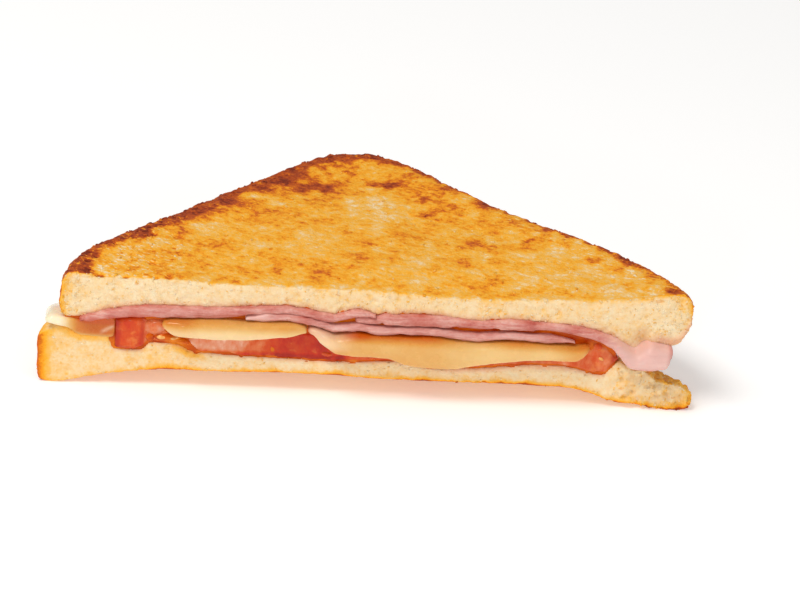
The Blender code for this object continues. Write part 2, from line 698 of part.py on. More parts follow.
def build_bread():
    bread("bread_bottom", BOTTOM, underside, seat_edge, [s[0] for s in SEAT_STATIONS])
    bread("bread_top", TOP, top_under, top_over, [s[0] for s in HAM_OVER_STATIONS])


def centre_on_base():
    """Moves everything so that the middle of the whole box's base is the origin."""
    made = [o for o in bpy.data.objects if o.type == "MESH"]
    points = np.array([v.co for o in made for v in o.data.vertices])
    low, high = points.min(0), points.max(0)
    shift = np.array(((low[0] + high[0]) / 2, (low[1] + high[1]) / 2, low[2]))
    for obj in made:
        for vertex in obj.data.vertices:
            vertex.co = [c - s for c, s in zip(vertex.co, shift)]


def main():
    for obj in list(bpy.data.objects):
        bpy.data.objects.remove(obj)
    build_bread()
    build_tomatoes()
    build_cheese()
    build_ham()
    centre_on_base()


main()
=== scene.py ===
import math

import bmesh
import bpy
import numpy as np
from mathutils import Matrix, Vector


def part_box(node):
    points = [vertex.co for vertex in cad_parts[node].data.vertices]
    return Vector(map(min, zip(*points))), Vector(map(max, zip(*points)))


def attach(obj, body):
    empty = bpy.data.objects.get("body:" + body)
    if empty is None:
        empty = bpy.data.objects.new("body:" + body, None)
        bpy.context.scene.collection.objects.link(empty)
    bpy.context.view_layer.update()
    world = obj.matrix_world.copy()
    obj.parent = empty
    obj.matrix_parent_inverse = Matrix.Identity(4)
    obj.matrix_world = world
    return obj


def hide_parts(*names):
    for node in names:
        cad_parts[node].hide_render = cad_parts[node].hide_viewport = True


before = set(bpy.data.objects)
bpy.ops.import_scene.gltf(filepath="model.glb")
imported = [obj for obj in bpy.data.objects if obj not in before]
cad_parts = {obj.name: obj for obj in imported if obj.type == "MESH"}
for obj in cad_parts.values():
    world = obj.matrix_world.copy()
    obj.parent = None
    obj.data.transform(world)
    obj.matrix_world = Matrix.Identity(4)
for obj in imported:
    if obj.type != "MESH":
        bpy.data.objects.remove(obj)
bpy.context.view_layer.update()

MM = 0.001
CUT_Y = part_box("bread_bottom")[0].y
LEFT_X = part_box("bread_bottom")[0].x
# The x of the lower slice's left end, from the middle of the cut, in millimetres
LEFT_STATION = -76.04

# The mesh size of each kind of piece
VOXEL_BREAD = 0.47 * MM
VOXEL_SHEET = 0.5 * MM
VOXEL_LIP = 0.42 * MM
VOXEL_TOMATO = 0.4 * MM

# Darker and paler patches of the toasted face: the middle along the cut and behind it, the half width
# and half depth, in millimetres, and the strength
BROWN_PATCHES = (
    (4.0, 58.3, 6.5, 3.0, 0.30), (17.6, 43.7, 4.5, 3.2, 0.28), (35.4, 28.8, 3.2, 2.4, 0.28),
    (25.4, 28.2, 4.0, 3.0, 0.16), (-11.4, 55.3, 5.5, 2.4, 0.30), (-38.5, 19.2, 3.6, 2.4, 0.22),
    (-44.9, 15.2, 3.4, 2.0, 0.22), (-29.9, 36.9, 3.0, 2.6, 0.20), (-16.2, 60.6, 4.5, 3.0, 0.26),
    (-25.9, 52.4, 5.0, 2.2, 0.22), (12.7, 51.2, 4.5, 2.4, 0.14), (-36.0, 48.6, 2.2, 1.3, 0.42),
    (-40.5, 41.0, 1.8, 1.1, 0.40), (51.3, 20.7, 2.6, 2.0, 0.18), (8.0, 30.0, 6.0, 2.6, 0.10),
)
PALE_PATCHES = (
    (-38.4, 29.7, 3.4, 2.2, 0.34), (-27.1, 47.8, 3.4, 1.5, 0.34), (-15.5, 58.0, 2.6, 1.4, 0.26),
    (-0.4, 48.4, 4.5, 3.2, 0.16), (42.9, 24.1, 5.2, 2.6, 0.16), (48.5, 21.5, 3.2, 2.0, 0.14),
    (-62.6, 7.8, 5.0, 3.2, 0.10), (-57.0, 12.0, 6.0, 3.0, 0.08), (-48.0, 18.7, 3.6, 3.4, 0.10),
    (-13.1, 21.6, 7.0, 4.0, 0.12), (14.3, 60.2, 3.4, 1.8, 0.22), (62.6, 14.9, 3.0, 2.2, 0.16),
)

# The camera: its bearing, height and roll in degrees, its distance, and what it looks at in millimetres
CAMERA_AZIMUTH, CAMERA_ELEVATION, CAMERA_ROLL = -4.0, 25.768, 4.472
CAMERA_DISTANCE = 866.53 * MM
CAMERA_TARGET = (8.116, 27.949, 11.554)
CAMERA_LENS, CAMERA_SENSOR = 164.59, 36.0

# How many chips lie on the toasted face, and how many on each slice's cut face
FLAKES, CRUMBS = 700, 500

# Bread: where the toasted face starts to be coarse, the width of its dark rim on the left and on the
# right, the notch under the right end, the lower slice's torn tip, and the stain under the jelly
ROUGH_X = -38.0
RIM_LEFT, RIM_RIGHT = 8.3, 6.8
NOTCH_X, NOTCH_Z, NOTCH_DEPTH = 62.6, 17.4, 2.0
TIP_X = 54.0
JELLY_STAIN_X = -41.5

# How far pieces swell into their neighbours, so that no gap shows, and stand forward at the cut
SEAT_SWELL, HAM_SWELL, CHEESE_SWELL, TOMATO_SWELL = 0.12, 0.32, 0.22, 0.18
HAM_FORWARD, FILM_FORWARD = 0.35, 0.12

# Filling: where the ham's flap and the cheese's film begin, the painted highlight streak on the film,
# the depth of the cheese's rounded lips, and the middle, half width and bulge of the block of tomato
FLAP_X, FILM_X = 52.0, -70.0
HIGHLIGHT_STREAK_X, HIGHLIGHT_STREAK_Z = -60.8, 14.3
LIP_REACH = 1.2
BLOCK_X, BLOCK_HALF, BLOCK_BULGE = -54.9, 3.4, 0.7

# The juice between the layers: its ends, its depths behind the cut and its mesh
JUICE_FROM, JUICE_TO, JUICE_STEP, JUICE_ROWS = -70.0, 57.5, 0.5, 14
JUICE_FRONT, JUICE_BACK = 0.25, 2.4

# Blobs: the place along and behind the cut and above the table, the length, width and height, all in
# millimetres, and the tilt in degrees
PULP = (
    (-49.4, 0.35, 15.3, 5.6, 1.9, 4.0, 6), (-9.6, 0.2, 10.3, 2.6, 1.0, 1.1, 4),
    (0.8, 0.2, 10.0, 3.0, 1.0, 1.0, 2), (52.6, 0.3, 15.4, 2.2, 1.2, 1.8, 30),
)
JELLY = (
    (-46.4, 0.1, 12.8, 6.4, 1.5, 2.1, 2), (-43.2, 0.1, 12.0, 4.0, 1.3, 1.5, 12),
    (-50.4, 0.2, 12.6, 2.0, 1.2, 2.2, 10), (-45.8, 0.3, 14.6, 2.6, 1.2, 1.4, 0),
)
SEEDS = (
    (-47.9, -0.5, 13.0, 2.0, 0.7, 1.0, 4), (-44.8, -0.5, 12.9, 1.9, 0.6, 0.7, -12),
    (-54.0, -0.1, 14.6, 1.4, 0.5, 0.9, 70), (53.6, 0.0, 12.4, 1.3, 0.5, 0.8, 20),
)

# Light: where each lamp stands in metres, its size, power and colour; then the surroundings and the floor
LAMPS = {
    "key": ((-0.4, -0.38, 0.95), (0.5, 0.35), 6.2, (1.0, 0.98, 0.95)),
    "fill": ((0.6, -0.6, 0.35), (0.35, 0.35), 0.7, (1.0, 1.0, 1.0)),
    "spark": ((-0.15, -0.8, 0.24), (0.04, 0.04), 0.5, (1.0, 1.0, 1.0)),
}
LAMP_TARGET = (0.0, 0.0, 0.01)
SURROUNDINGS, SURROUNDINGS_STRENGTH = (1.0, 0.99, 0.975, 1.0), 0.44
FLOOR_REACH, FLOOR_COLOUR, FLOOR_GLOW = 3.0, (0.93, 0.93, 0.93, 1.0), 0.24

rng = np.random.default_rng(7)


def srgb(r, g, b):
    """A linear colour from 0 to 255 display values."""
    out = []
    for v in (r, g, b):
        v /= 255.0
        out.append(v / 12.92 if v <= 0.04045 else ((v + 0.055) / 1.055) ** 2.4)
    return (*out, 1.0)


def smooth(t):
    t = np.clip(t, 0.0, 1.0)
    return t * t * (3.0 - 2.0 * t)


def rise(value, start, width):
    """From 0 at start to 1, width further on."""
    return smooth((value - start) / width)


def fall(value, end, width):
    """From 1, width before the end, to 0 at the end."""
    return smooth((end - value) / width)


def hill(value, middle, width):
    """1 at the middle, and near 0 at twice the width from it."""
    return np.exp(-(((value - middle) / width) ** 2))


def mix(a, b, t):
    return a + (b - a) * t


def station(x):
    """Frame x in metres to millimetres along the cut."""
    return (x - LEFT_X) / MM + LEFT_STATION


def place(x, depth, z):
    """A point from millimetres along the cut, behind the cut and above the table."""
    return Vector(((x - LEFT_STATION) * MM + LEFT_X, CUT_Y + depth * MM, z * MM))


# Noise on points, in millimetres

def lattice(i, seed):
    """A random value from -1 to 1 for each cell, hashed from its whole-number place."""
    h = i[..., 0] * 374761393 + i[..., 1] * 668265263 + i[..., 2] * 2147483647 + seed * 974634777
    h = (h ^ (h >> 13)) * 1274126177
    h = h ^ (h >> 16)
    return (h & 0xFFFF) / 32767.5 - 1.0


def noise(p, size, seed=0):
    """Value noise from -1 to 1 with features of about size millimetres."""
    q = p / size + seed * 17.31
    cell = np.floor(q).astype(np.int64)
    f = q - cell
    u = f * f * (3 - 2 * f)
    total = 0
    for corner in range(8):
        step = np.array([(corner >> k) & 1 for k in range(3)])
        weight = np.prod(np.where(step, u, 1 - u), axis=1)
        total = total + weight * lattice(cell + step, seed)
    return total


def layered(p, size, seed=0, octaves=3):
    """Noise from -1 to 1 with ever finer layers added."""
    total, weight = 0, 0
    for k in range(octaves):
        share = 0.55**k
        total = total + share * noise(p, size / 2.03**k, seed + k)
        weight += share
    return total / weight


def pores(p, size, seed=0, share=0.6):
    """Round dents from 0 to 1, in a share of cells of about size millimetres."""
    q = p / size
    cell = np.floor(q).astype(np.int64)
    best = np.zeros(len(p))
    for dx in (-1, 0, 1):
        for dy in (-1, 0, 1):
            for dz in (-1, 0, 1):
                c = cell + np.array((dx, dy, dz))
                centre = c + 0.5 + 0.42 * np.stack([lattice(c, seed + k) for k in range(3)], axis=1)
                radius = mix(0.25, 0.62, (lattice(c, seed + 3) + 1) / 2)
                present = (lattice(c, seed + 4) + 1) / 2 < share
                away = np.linalg.norm(q - centre, axis=1) / radius
                best = np.maximum(best, np.where(present, smooth(1.15 - away), 0.0))
    return best


# Mesh work

def linked(name, data):
    """A new object in the scene."""
    obj = bpy.data.objects.new(name, data)
    bpy.context.scene.collection.objects.link(obj)
    return obj


def coords(mesh):
    co = np.empty(len(mesh.vertices) * 3)
    mesh.vertices.foreach_get("co", co)
    return co.reshape(-1, 3)


def normals(mesh):
    n = np.empty(len(mesh.vertices) * 3)
    mesh.vertices.foreach_get("normal", n)
    return n.reshape(-1, 3)


def set_coords(mesh, co):
    mesh.vertices.foreach_set("co", co.ravel())
    mesh.update()


def remeshed(name, node, voxel):
    """A new piece with the CAD node's form on a fine even mesh."""
    work = bmesh.new()
    work.from_mesh(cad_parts[node].data)
    bmesh.ops.remove_doubles(work, verts=work.verts, dist=0.002 * MM)
    mesh = bpy.data.meshes.new(name)
    work.to_mesh(mesh)
    work.free()
    obj = linked(name, mesh)
    modifier = obj.modifiers.new("even", "REMESH")
    modifier.mode = "VOXEL"
    modifier.voxel_size = voxel
    graph = bpy.context.evaluated_depsgraph_get()
    fine = bpy.data.meshes.new_from_object(obj.evaluated_get(graph))
    obj.modifiers.clear()
    obj.data = fine
    bpy.data.meshes.remove(mesh)
    fine.name = name
    return obj


def relax(mesh, rounds, pull=0.6, push=-0.62):
    """Smooths facets away without shrinking the form."""
    edges = np.empty(len(mesh.edges) * 2, dtype=np.int64)
    mesh.edges.foreach_get("vertices", edges)
    a, b = edges.reshape(-1, 2).T
    count = len(mesh.vertices)
    degree = np.bincount(a, minlength=count) + np.bincount(b, minlength=count)
    co = coords(mesh)
    for step in range(2 * rounds):
        total = np.stack([
            np.bincount(a, weights=axis[b], minlength=count) + np.bincount(b, axis[a], minlength=count)
            for axis in co.T
        ], axis=1)
        mean = total / degree[:, None]
        co = co + (pull if step % 2 == 0 else push) * (mean - co)
    set_coords(mesh, co)


def patches_at(x, depth, patches, wobble):
    """The summed strength of round patches with uneven edges."""
    total = np.zeros(len(x))
    for middle, behind, half_x, half_y, strength in patches:
        away = ((x - middle) / half_x) ** 2 + ((depth - behind) / half_y) ** 2
        total += strength * np.exp(-0.8 * away) * (1 + 1.2 * wobble)
    return total


def least_along(co, values, step=1.5 * MM):
    """At each point, the smoothed least of the values found along x."""
    cell = np.floor(co[:, 0] / step).astype(int)
    first = cell.min()
    least = np.full(cell.max() - first + 1, np.inf)
    np.minimum.at(least, cell - first, values)
    found = np.isfinite(least)
    line = np.interp(np.arange(len(least)), np.flatnonzero(found), least[found])
    line = np.convolve(np.pad(line, 2, mode="edge"), np.ones(5) / 5, mode="valid")
    return np.interp(co[:, 0], (np.arange(len(line)) + first + 0.5) * step, line)


def flattened(co, reach):
    """The y of points after a rounded front lip is pressed to a flatter face, reach millimetres deep."""
    at_front = least_along(co, co[:, 1])
    behind = np.maximum(co[:, 1] - at_front, 0) / MM
    pressed = np.interp(behind, (0, reach, reach + 4, 200), (0, 0.35 * reach, reach + 4, 200))
    return at_front + pressed * MM


def attribute(mesh, name, values):
    """Stores a measure at the mesh's points, for the materials to read."""
    made = mesh.attributes.new(name, "FLOAT", "POINT")
    made.data.foreach_set("value", np.asarray(values, dtype=np.float32))


def finished(obj, material, node=None):
    """Shades a piece and, where a CAD node is named, puts the piece in its place."""
    obj.data.materials.clear()
    obj.data.materials.append(material)
    obj.data.shade_smooth()
    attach(obj, "root")
    if node:
        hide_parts(node)


def cut_profile(node):
    """Functions of x, in metres, for the upper and lower edge of a slice's cut face."""
    co = coords(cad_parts[node].data)
    co = co[np.abs(co[:, 1] - CUT_Y) < 0.01 * MM]
    xs = np.unique(np.round(co[:, 0], 7))
    high = np.array([co[np.abs(co[:, 0] - x) < 1e-6, 2].max() for x in xs])
    low = np.array([co[np.abs(co[:, 0] - x) < 1e-6, 2].min() for x in xs])
    both = high - low > 2.0 * MM
    xs, high, low = xs[both], high[both], low[both]
    return (lambda x: np.interp(x, xs, high)), (lambda x: np.interp(x, xs, low))


def plan_hull(node):
    """The corners of a slice's outline seen from above, counter-clockwise."""
    points = sorted({(round(x, 6), round(y, 6)) for x, y, _ in coords(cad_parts[node].data)})

    def half(run):
        out = []
        for p in run:
            while len(out) > 1 and (
                (out[-1][0] - out[-2][0]) * (p[1] - out[-2][1])
                - (out[-1][1] - out[-2][1]) * (p[0] - out[-2][0])
            ) <= 0:
                out.pop()
            out.append(p)
        return out[:-1]

    return np.array(half(points) + half(points[::-1]))


def crust_distance(node, xy):
    """How far points are inside a slice's crust, in millimetres, leaving out the cut side."""
    hull = plan_hull(node)
    after = np.roll(hull, -1, axis=0)
    best = np.full(len(xy), 1.0)
    for a, b in zip(hull, after):
        if max(a[1], b[1]) < CUT_Y + 0.05 * MM:
            continue
        run = b - a
        t = np.clip(((xy - a) @ run) / (run @ run), 0, 1)
        best = np.minimum(best, np.linalg.norm(xy - (a + t[:, None] * run), axis=1))
    return best / MM


def measured(mesh):
    """A mesh's points and normals, the points in millimetres, and their places along and behind the cut."""
    co = coords(mesh)
    return co, normals(mesh), co / MM, station(co[:, 0]), (co[:, 1] - CUT_Y) / MM


def slice_measures(node, co):
    """How far points are inside a slice's crust and from the upper and lower edge of its cut face."""
    high, low = cut_profile(node)
    from_top = (high(co[:, 0]) - co[:, 2]) / MM
    above_low = (co[:, 2] - low(co[:, 0])) / MM
    return crust_distance(node, co[:, :2]), from_top, above_low


# Materials

class Shader:
    """A small helper for procedural materials. Positions in them are in millimetres."""

    def __init__(self, name, roughness, **settings):
        self.material = bpy.data.materials.new(name)
        self.material.use_nodes = True
        self.tree = self.material.node_tree
        self.bsdf = self.tree.nodes["Principled BSDF"]
        self.bsdf.inputs["Roughness"].default_value = roughness
        for key, value in settings.items():
            self.bsdf.inputs[key.replace("_", " ")].default_value = value
        where = self.node("ShaderNodeTexCoord").outputs["Object"]
        self.position = self.vector("MULTIPLY", where, (1000.0, 1000.0, 1000.0))

    def node(self, kind, **settings):
        made = self.tree.nodes.new(kind)
        for key, value in settings.items():
            setattr(made, key, value)
        return made

    def put(self, socket, value):
        if isinstance(value, bpy.types.NodeSocket):
            self.tree.links.new(value, socket)
        else:
            socket.default_value = value

    def vector(self, operation, a, b):
        made = self.node("ShaderNodeVectorMath", operation=operation)
        self.put(made.inputs[0], a)
        self.put(made.inputs[1], b)
        return made.outputs["Vector"]

    def math(self, operation, a, b):
        made = self.node("ShaderNodeMath", operation=operation)
        self.put(made.inputs[0], a)
        self.put(made.inputs[1], b)
        return made.outputs["Value"]

    def added(self, value, noise, amount):
        """The value, with an amount of noise about it."""
        total = self.math("MULTIPLY_ADD", self.math("SUBTRACT", noise, 0.5), amount)
        self.put(total.node.inputs[2], value)
        return total

    def texture(self, where, size, detail, rough):
        made = self.node("ShaderNodeTexNoise")
        self.put(made.inputs["Vector"], where)
        made.inputs["Scale"].default_value = 1.0 / size
        made.inputs["Detail"].default_value = detail
        made.inputs["Roughness"].default_value = rough
        return made.outputs["Fac"]

    def noise(self, size, detail=3.0, rough=0.55, stretch=(1, 1, 1), shift=0.0):
        """Noise from about 0 to 1 with features of about size millimetres."""
        scaled = self.vector("MULTIPLY_ADD", self.position, tuple(1.0 / s for s in stretch))
        scaled.node.inputs[2].default_value = (shift, shift * 0.7, -shift)
        return self.texture(scaled, size, detail, rough)

    def streaks(self, size, length, angle, shift=0.0, detail=3.0):
        """Noise drawn out to short strokes at an angle, in degrees, seen from above."""
        turned = self.node("ShaderNodeMapping")
        self.put(turned.inputs["Vector"], self.position)
        turned.inputs["Rotation"].default_value = (0, 0, math.radians(angle))
        turned.inputs["Location"].default_value = (shift, -shift, 0)
        squeezed = self.vector("MULTIPLY", turned.outputs["Vector"], (1.0 / length, 1.0, 1.0))
        return self.texture(squeezed, size, detail, 0.6)

    def cells(self, size):
        """The distance to the nearest of random points about size millimetres apart."""
        made = self.node("ShaderNodeTexVoronoi")
        self.put(made.inputs["Vector"], self.position)
        made.inputs["Scale"].default_value = 1.0 / size
        return made.outputs["Distance"]

    def value(self, name):
        """A measure stored at the mesh's points."""
        return self.node("ShaderNodeAttribute", attribute_name=name).outputs["Fac"]

    def span(self, value, low, high, to_low=0.0, to_high=1.0):
        """A soft step from to_low, at low, to to_high, at high."""
        made = self.node("ShaderNodeMapRange", interpolation_type="SMOOTHSTEP")
        self.put(made.inputs["Value"], value)
        made.inputs["From Min"].default_value = low
        made.inputs["From Max"].default_value = high
        made.inputs["To Min"].default_value = to_low
        made.inputs["To Max"].default_value = to_high
        return made.outputs["Result"]

    def ramp(self, value, stops):
        made = self.node("ShaderNodeValToRGB")
        band = made.color_ramp
        while len(band.elements) < len(stops):
            band.elements.new(0.5)
        for element, (position, colour) in zip(band.elements, stops):
            element.position = position
            element.color = colour
        self.put(made.inputs["Fac"], value)
        return made.outputs["Color"]

    def blend(self, share, a, b):
        """From colour a to colour b, by a share from 0 to 1."""
        made = self.node("ShaderNodeMix", data_type="RGBA")
        self.put(made.inputs["Factor"], share)
        self.put(made.inputs[6], a)
        self.put(made.inputs[7], b)
        return made.outputs[2]

    def between(self, share, a, b):
        """From value a to value b, by a share from 0 to 1."""
        made = self.node("ShaderNodeMix", data_type="FLOAT")
        self.put(made.inputs["Factor"], share)
        self.put(made.inputs[2], a)
        self.put(made.inputs[3], b)
        return made.outputs[0]

    def colour(self, value):
        self.put(self.bsdf.inputs["Base Color"], value)

    def rough(self, value):
        self.put(self.bsdf.inputs["Roughness"], value)

    def bump(self, *layers):
        """Bump from (height, strength, distance in millimetres) layers."""
        normal = None
        for height, strength, distance in layers:
            made = self.node("ShaderNodeBump")
            made.inputs["Strength"].default_value = strength
            made.inputs["Distance"].default_value = distance * MM
            self.put(made.inputs["Height"], height)
            if normal:
                self.put(made.inputs["Normal"], normal)
            normal = made.outputs["Normal"]
        self.put(self.bsdf.inputs["Normal"], normal)


# What the points of a slice store: browning, crumb and not toast, pink stain, pale flecks, fat
BREAD_MEASURES = ("toast", "crumb", "stain", "flecky", "wet")

TOAST_RAMP = (
    (0.00, srgb(251, 230, 192)),
    (0.12, srgb(249, 215, 162)),
    (0.24, srgb(250, 194, 100)),
    (0.40, srgb(255, 181, 50)),
    (0.54, srgb(247, 155, 29)),
    (0.67, srgb(216, 108, 26)),
    (0.80, srgb(186, 82, 30)),
    (0.91, srgb(158, 62, 28)),
    (1.00, srgb(124, 46, 24)),
)


def bread_material(name):
    s = Shader(name, 0.85, Specular_IOR_Level=0.2, Subsurface_Weight=0.1, Subsurface_Scale=1.0 * MM,
               Subsurface_Radius=(1.0, 0.6, 0.35))
    toast, crumb, stain, flecky, wet = (s.value(name) for name in BREAD_MEASURES)
    coarse = s.noise(4.0, 3.0, 0.6, shift=15.0)
    grain = s.noise(1.3, 4.0, 0.66)
    fine = s.noise(0.5, 3.0, 0.6, shift=4.0)
    strokes = s.streaks(0.9, 2.6, 28.0)

    # Toast: the browning, broken up by grain and strokes, with pale flecks
    browning = toast
    for texture, amount in ((coarse, 0.62), (grain, 0.62), (fine, 0.30), (strokes, 0.45)):
        browning = s.added(browning, texture, amount)
    flecks = s.span(s.streaks(0.75, 2.2, 24.0, 40.0, 2.0), 0.56, 0.66)
    paler = s.math("MULTIPLY", flecks, s.math("MULTIPLY", flecky, 0.30))
    browning = s.math("SUBTRACT", browning, paler)
    # Crumb keeps its own soft browning, with small pores darkened as painted shade in them
    quiet = s.added(s.added(toast, grain, 0.34), coarse, 0.26)
    porous = s.span(s.noise(3.0, 2.0, 0.5, shift=63.0), 0.42, 0.60)
    holes = s.math("MULTIPLY", s.span(s.cells(1.0), 0.42, 0.16), porous)
    quiet = s.math("ADD", quiet, s.math("MULTIPLY", holes, 0.07))
    share = s.span(crumb, 0.15, 0.85)
    base = s.ramp(s.between(share, browning, quiet), TOAST_RAMP)
    # A few orange specks in the crumb, and the pink stain where juice has soaked in
    speck = s.math("MULTIPLY", s.span(s.noise(2.2, 2.0, 0.5, (1.8, 1, 1), 31.0), 0.70, 0.76), share)
    base = s.blend(s.math("MULTIPLY", speck, 0.6), base, srgb(232, 160, 76))
    base = s.blend(stain, base, srgb(232, 146, 116))
    s.colour(base)
    crumb_bump = s.math("SUBTRACT", s.noise(0.7, 4.0, 0.7, shift=2.0), s.math("MULTIPLY", holes, 0.4))
    s.bump((grain, 0.5, 0.5), (crumb_bump, 0.6, 0.45), (fine, 0.4, 0.2))
    s.rough(s.span(wet, 0.0, 1.0, 0.85, 0.22))
    s.put(s.bsdf.inputs["Specular IOR Level"], s.span(wet, 0.0, 1.0, 0.2, 0.55))
    return s.material


def ham_material():
    s = Shader("ham", 0.4, Specular_IOR_Level=0.35, Subsurface_Weight=0.25, Subsurface_Scale=1.2 * MM,
               Subsurface_Radius=(1.0, 0.45, 0.35))
    layers = s.noise(1.0, 4.0, 0.6, (5.0, 4.0, 0.5))
    grain = s.noise(0.6, 3.0, 0.6, (1.2, 1.0, 0.8), 14.0)
    cloud = s.noise(6.0, 2.0, 0.5, shift=12.0)
    pale, dark = s.value("pale"), s.value("dark")
    tone = s.added(s.added(cloud, layers, 0.9), grain, 0.5)
    base = s.ramp(tone, (
        (0.12, srgb(178, 80, 70)), (0.34, srgb(198, 116, 104)), (0.56, srgb(213, 146, 134)),
        (0.85, srgb(230, 184, 172)),
    ))
    base = s.blend(pale, base, srgb(236, 198, 188))
    base = s.blend(dark, base, srgb(196, 78, 52))
    s.colour(base)
    s.rough(s.span(layers, 0.3, 0.7, 0.3, 0.5))
    firm = s.span(pale, 0.3, 0.7, 1.0, 0.2)
    s.bump((s.math("MULTIPLY", layers, firm), 0.6, 0.35), (s.math("MULTIPLY", grain, firm), 0.35, 0.15))
    return s.material


def cheese_material():
    s = Shader("cheese", 0.2, Specular_IOR_Level=0.35, Subsurface_Weight=0.3, Subsurface_Scale=2.2 * MM,
               Subsurface_Radius=(1.0, 0.6, 0.25), Specular_Tint=(1.0, 0.8, 0.5, 1.0),
               Coat_Weight=0.4, Coat_Roughness=0.07)
    shade, pale, pink = s.value("shade"), s.value("pale"), s.value("pink")
    cloud = s.noise(5.0, 3.0, 0.55, (2.0, 1.0, 1.0))
    base = s.ramp(s.added(shade, cloud, 0.45), (
        (0.0, srgb(236, 200, 136)), (0.3, srgb(228, 179, 106)), (0.6, srgb(220, 152, 68)),
        (1.0, srgb(200, 86, 2)),
    ))
    base = s.blend(pale, base, srgb(254, 238, 208))
    base = s.blend(pink, base, srgb(208, 82, 34))
    s.colour(base)
    s.rough(s.span(s.noise(2.5, 3.0, 0.6, shift=8.0), 0.35, 0.65, 0.14, 0.34))
    s.bump((s.noise(3.0, 2.0, 0.5, shift=3.0), 0.3, 0.5), (s.noise(1.2, 2.0, 0.5, shift=6.0), 0.3, 0.2))
    return s.material


def tomato_material():
    s = Shader("tomato", 0.14, Specular_IOR_Level=0.22, Subsurface_Weight=0.15, Subsurface_Scale=1.6 * MM,
               Subsurface_Radius=(1.0, 0.3, 0.15), Coat_Weight=0.2, Coat_Roughness=0.04)
    flesh, skin = s.value("flesh"), s.value("skin")
    cloud = s.noise(2.2, 4.0, 0.62, (1.0, 1.0, 1.6))
    base = s.ramp(s.added(flesh, cloud, 0.9), (
        (0.0, srgb(166, 24, 2)), (0.25, srgb(202, 46, 6)), (0.5, srgb(216, 80, 16)),
        (0.72, srgb(226, 124, 72)), (0.88, srgb(230, 156, 122)), (1.0, srgb(240, 188, 160)),
    ))
    veins = s.span(s.noise(2.4, 3.0, 0.6, (1.3, 1.0, 1.0), 21.0), 0.55, 0.72, 0.0, 0.55)
    base = s.blend(veins, base, srgb(232, 136, 60))
    base = s.blend(skin, base, srgb(168, 22, 4))
    s.colour(base)
    s.bump((cloud, 0.3, 0.5), (s.noise(0.7, 2.0, 0.5, shift=7.0), 0.2, 0.15))
    return s.material


def juice_material():
    s = Shader("juice", 0.18, Specular_IOR_Level=0.4, Specular_Tint=(1.0, 0.6, 0.25, 1.0),
               Coat_Weight=0.1, Coat_Roughness=0.08)
    cloud = s.noise(3.0, 3.0, 0.6, (1.6, 1.0, 1.0))
    s.colour(s.ramp(cloud, (
        (0.3, srgb(174, 46, 2)), (0.5, srgb(208, 88, 6)), (0.7, srgb(234, 136, 24)),
    )))
    s.bump((cloud, 0.4, 0.5), (s.noise(0.9, 2.0, 0.5, shift=4.0), 0.2, 0.2))
    return s.material


def seed_material():
    s = Shader("seed", 0.25, Specular_IOR_Level=0.5, Coat_Weight=0.4, Coat_Roughness=0.1)
    s.colour(s.ramp(s.noise(0.8, 2.0, 0.5), (
        (0.3, srgb(226, 146, 58)), (0.7, srgb(240, 186, 100)),
    )))
    return s.material


# Bread

def crumb_surface(p, grain, seed):
    """The relief of crumb, in millimetres, and how much its holes are darkened, as painted shade in the
    dents.
    """
    small = pores(p, 1.9, seed, 0.5)
    large = pores(p * (0.8, 1, 1), 3.6, seed + 5, 0.25)
    return 0.16 * grain - 0.36 * small - 0.28 * large, 0.05 * small + 0.04 * large


def facing_front(nrm, depth):
    """From 0 to 1, how far points belong to the cut face."""
    return rise(-nrm[:, 1], 0.35, 0.3) * fall(depth, 1.3, 0.6)


